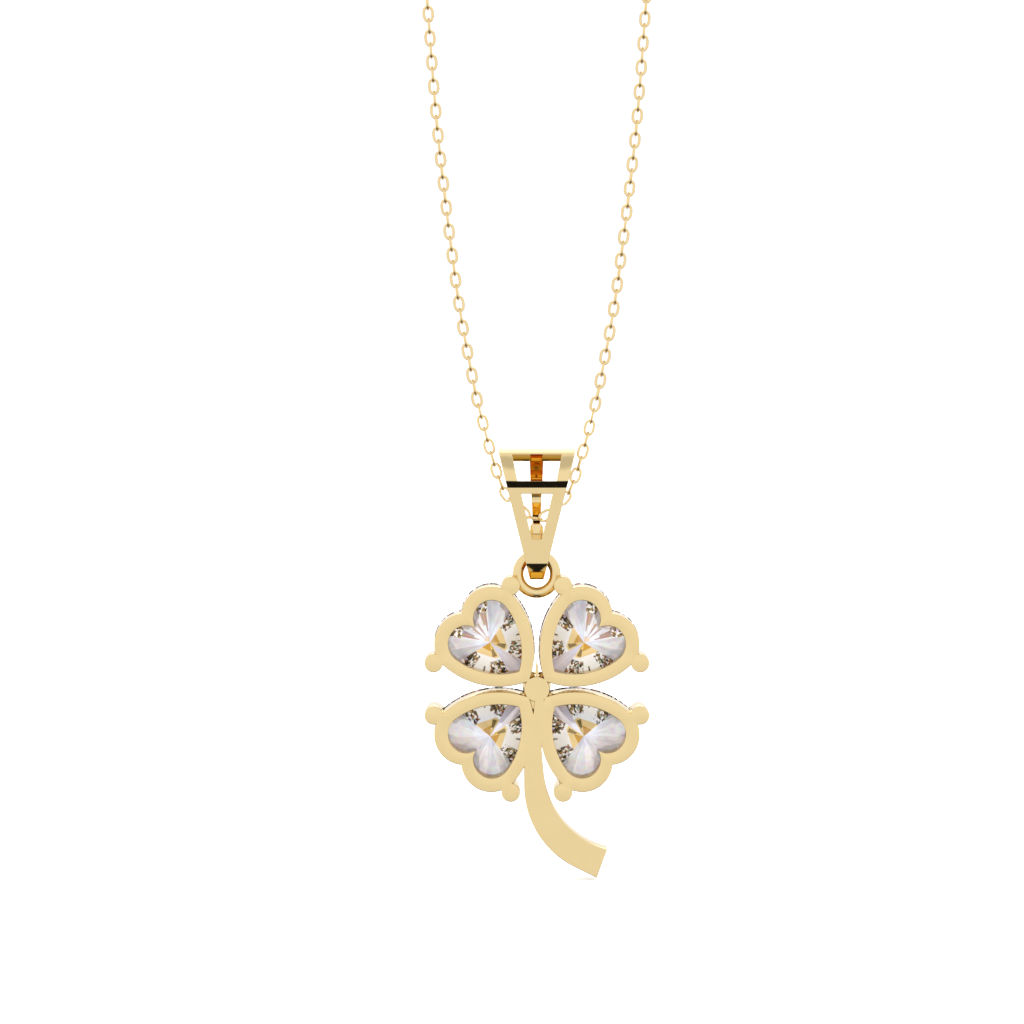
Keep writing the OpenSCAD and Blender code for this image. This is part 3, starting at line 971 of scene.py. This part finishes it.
def ovalLink(sizes):
    # One cable link: a ring of round wire, drawn out into an oval
    wireR = sizes["wire"] / 2
    ringR = sizes["linkWide"] / 2 - wireR
    bpy.ops.mesh.primitive_torus_add(
        major_radius=ringR, minor_radius=wireR, major_segments=sizes["around"],
        minor_segments=sizes["wireSides"], location=(0, 0, 0))
    link = newest("ovalLink")
    half = (sizes["linkLong"] - sizes["linkWide"]) / 2
    for corner in link.data.vertices:
        share = corner.co.x / math.hypot(corner.co.x, corner.co.y)
        corner.co.x += half * math.copysign(abs(share) ** 0.5, share)
    makeActive(link)
    bpy.ops.object.shade_smooth()
    return link


def slipAt(goal, whole, sizes):
    # How far a link has slipped from its even place along the loop
    change, fade = sizes["slideChange"], sizes["slideFade"]
    share = min(max((goal - whole / 2) / change + 0.5, 0), 1)
    slide = sizes["slide"][0] * (1 - share) + sizes["slide"][1] * share
    return slide * min(1, goal / fade, (whole - goal) / fade)


def cableChain(sizes):
    left = [(-x, z) for x, z in reversed(sizes["route"])]
    fine = smoothRoute([*left, sizes["foot"], *sizes["route"]], sizes["routeStep"])
    travelled = [0]
    for a, b in zip(fine, fine[1:]):
        travelled.append(travelled[-1] + (b - a).length)
    whole = travelled[-1]
    count = math.ceil(whole / sizes["pitch"])
    pitch = whole / count
    link = ovalLink(sizes)
    links, k, depth = [], 0, Vector((0, 1, 0))
    for i in range(count):
        goal = (i + 0.5) * pitch
        goal += slipAt(goal, whole, sizes)
        while travelled[k + 1] < goal:
            k += 1
        share = (goal - travelled[k]) / (travelled[k + 1] - travelled[k])
        spot = fine[k].lerp(fine[k + 1], share)
        along = (fine[min(k + 4, len(fine) - 1)] - fine[max(k - 3, 0)]).normalized()
        roll = (90 if i % 2 else 0) + random.uniform(-1, 1) * sizes["rollDegrees"]
        turn = Matrix((along, depth.cross(along), depth)).transposed().to_4x4()
        links.append(copyOf(link))
        links[-1].data.transform(Matrix.Translation(spot) @ turn
                                 @ Matrix.Rotation(math.radians(roll), 4, "X"))
    bpy.data.objects.remove(link)
    makeActive(links[0], *links[1:])
    bpy.ops.object.join()
    piece = newest("cableChain")
    toPlace(piece)
    print("chain:", count, "links at", round(pitch, 4), "mm over", round(whole, 1), "mm")
    return piece


chain = cableChain(chainSizes)
finishPiece(chain, "chain_loop", chainGold, 60, flatFaces=False)
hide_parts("chain")


# Clasp

claspSizes = {
    "long": 8, "radius": 1.1, "endR": 0.45,
    "taper": 1.6,  # length of each drawn-in end, in two steps
    "shoulder": 0.86,  # share of the radius between the two steps
    "groove": 0.09, "grooves": (-0.9, 0, 0.9), "edge": 0.06,
    "loopR": 0.3, "loopWireR": 0.08, "loopOut": 0.14,
}


def barrelClasp(sizes):
    # A barrel with drawn-in ends and three turned grooves
    radius, shoulder = sizes["radius"], sizes["shoulder"]
    axis = (0, 0, radius)
    bpy.ops.mesh.primitive_cylinder_add(vertices=64, radius=radius,
                                        depth=sizes["long"] - 2 * sizes["taper"],
                                        location=axis, rotation=(0, math.pi / 2, 0))
    piece = placed("barrelClasp")
    for side in (1, -1):
        editWhere(piece, "FACE", lambda face: face.normal.x * side > 0.9)
        for scale in (shoulder, sizes["endR"] / (radius * shoulder)):
            bpy.ops.mesh.extrude_region_move(
                TRANSFORM_OT_translate={"value": (side * sizes["taper"] / 2, 0, 0)})
            bpy.ops.transform.resize(value=(1, scale, scale), center_override=axis)
        objectMode()
    shrink = 1 - sizes["groove"] / radius
    for middle in sizes["grooves"]:
        for offset in (-1, 0, 1):
            editWhere(piece, "FACE", lambda face: True)
            bpy.ops.mesh.bisect(plane_co=(middle + offset * sizes["groove"], 0, 0),
                                plane_no=(1, 0, 0))
            objectMode()
        editWhere(piece, "VERT", lambda corner: abs(corner.co.x - middle) < 0.001)
        bpy.ops.transform.resize(value=(1, shrink, shrink), center_override=axis)
        objectMode()
    editWhere(piece, "EDGE", lambda line: False)
    bpy.ops.mesh.edges_select_sharp(sharpness=math.radians(25))
    bpy.ops.mesh.bevel(offset=sizes["edge"], segments=3, profile=0.5, clamp_overlap=True,
                       affect="EDGES")
    objectMode()
    loops = []
    for side in (1, -1):
        bpy.ops.mesh.primitive_torus_add(
            major_radius=sizes["loopR"], minor_radius=sizes["loopWireR"], major_segments=32,
            minor_segments=12, rotation=(math.pi / 2, 0, 0),
            location=(side * (sizes["long"] / 2 + sizes["loopOut"]), 0, radius))
        loops.append(placed("claspLoop"))
    makeActive(piece, *loops)
    bpy.ops.object.join()
    toPlace(piece)
    return piece


clasp = barrelClasp(claspSizes)
finishPiece(clasp, "chain_loop", yellowGold, 32)
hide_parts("clasp")
print("clasp made")


# Floor, light and surroundings

stageSizes = {
    "floorR": 3.0, "floorColour": "#fbfbfb", "floorGlow": 0.4,
    "floorDrop": 0.0002,  # metres between the stem's tip and the paper
    "lampPower": 1.6, "lampSpread": 70,
}
skyLook = {
    # height of each band of the studio, as the sine of its elevation, and its brightness
    "bands": ((-1.0, 0.012), (-0.86, 0.03), (-0.62, 0.6), (-0.4, 0.97), (-0.14, 1.03),
              (0.0, 1.08), (1.0, 1.08)),
    "patches": (  # elevation from the camera's side, how wide, how much brighter or dimmer
        (70, (12, 38), 0.66),  # a dim gap between the lamps, above the camera
        (142, (16, 28), 1.7),  # the broad lamp above and behind the pendant
    ),
    # the paper behind and below, in its own shade
    "sweepUp": -132, "sweepWide": (14, 40), "sweepLight": 0.5,
}


def paleFloor(sizes):
    floorZ = (cloverZ - tipBelow) * mm - sizes["floorDrop"]
    bpy.ops.mesh.primitive_circle_add(vertices=96, radius=sizes["floorR"], fill_type="NGON",
                                      location=(0, 0, floorZ))
    floor = placed("paleFloor")
    material, tree = newMaterial("mattePaper")  # seamless paper: matte, so its shadow is soft
    shader = addNode(tree, "ShaderNodeBsdfPrincipled",
                     inputs={"Base Color": linearColour(sizes["floorColour"]), "Roughness": 0.7,
                             "Specular IOR Level": 0.1, "Emission Color": (1, 1, 1, 1),
                             "Emission Strength": sizes["floorGlow"]})
    addNode(tree, "ShaderNodeOutputMaterial", links={"Surface": shader.outputs["BSDF"]})
    floor.data.materials.append(material)
    floor.visible_glossy = False


def floorLamp(sizes):
    # A broad lamp overhead that lifts the paper to white
    bpy.ops.object.light_add(type="SUN", location=(0, 0, 1))
    lamp = newest("floorLight")
    lamp.data.energy = sizes["lampPower"]
    lamp.data.angle = math.radians(sizes["lampSpread"])
    lamp.visible_glossy = False
    lamp.visible_transmission = False


def studioSky(look):
    world = bpy.data.worlds.new("studioSky")
    bpy.context.scene.world = world
    world.use_nodes = True
    tree = world.node_tree
    tree.nodes.clear()
    place = addNode(tree, "ShaderNodeTexCoord").outputs["Generated"]
    height = addNode(tree, "ShaderNodeSeparateXYZ", links={"Vector": place})
    share = addNode(tree, "ShaderNodeMapRange", inputs={"From Min": -1, "From Max": 1},
                    links={"Value": height.outputs["Z"]})
    ramp = addNode(tree, "ShaderNodeValToRGB", links={"Fac": share.outputs["Result"]})
    fillRamp(ramp.color_ramp, [((sine + 1) / 2, (value, value, value, 1))
                               for sine, value in look["bands"]])

    def towards(elevation, wide, outside, inside):  # a soft round patch of the studio
        up = math.radians(elevation)
        near, far = (math.cos(math.radians(angle)) for angle in wide)
        facing = addNode(tree, "ShaderNodeVectorMath", {"operation": "DOT_PRODUCT"},
                         links={0: place})
        facing.inputs[1].default_value = (0, -math.cos(up), math.sin(up))
        return addNode(tree, "ShaderNodeMapRange", {"interpolation_type": "SMOOTHSTEP"},
                       inputs={"From Min": far, "From Max": near, "To Min": outside,
                               "To Max": inside},
                       links={"Value": facing.outputs["Value"]}).outputs["Result"]

    sweep = towards(look["sweepUp"], look["sweepWide"], 0, look["sweepLight"])
    light = addNode(tree, "ShaderNodeMath", {"operation": "MAXIMUM"},
                    links={0: ramp.outputs["Color"], 1: sweep})
    for elevation, wide, share in look["patches"]:
        light = addNode(tree, "ShaderNodeMath", {"operation": "MULTIPLY"}, links={
            0: light.outputs["Value"], 1: towards(elevation, wide, 1, share)})
    sky = addNode(tree, "ShaderNodeBackground", links={"Strength": light.outputs["Value"]})
    sky.inputs["Color"].default_value = (1, 1, 1, 1)
    addNode(tree, "ShaderNodeOutputWorld", links={"Surface": sky.outputs["Background"]})


paleFloor(stageSizes)
floorLamp(stageSizes)
studioSky(skyLook)
bpy.context.scene.view_settings.view_transform = "Standard"
print("stage made")
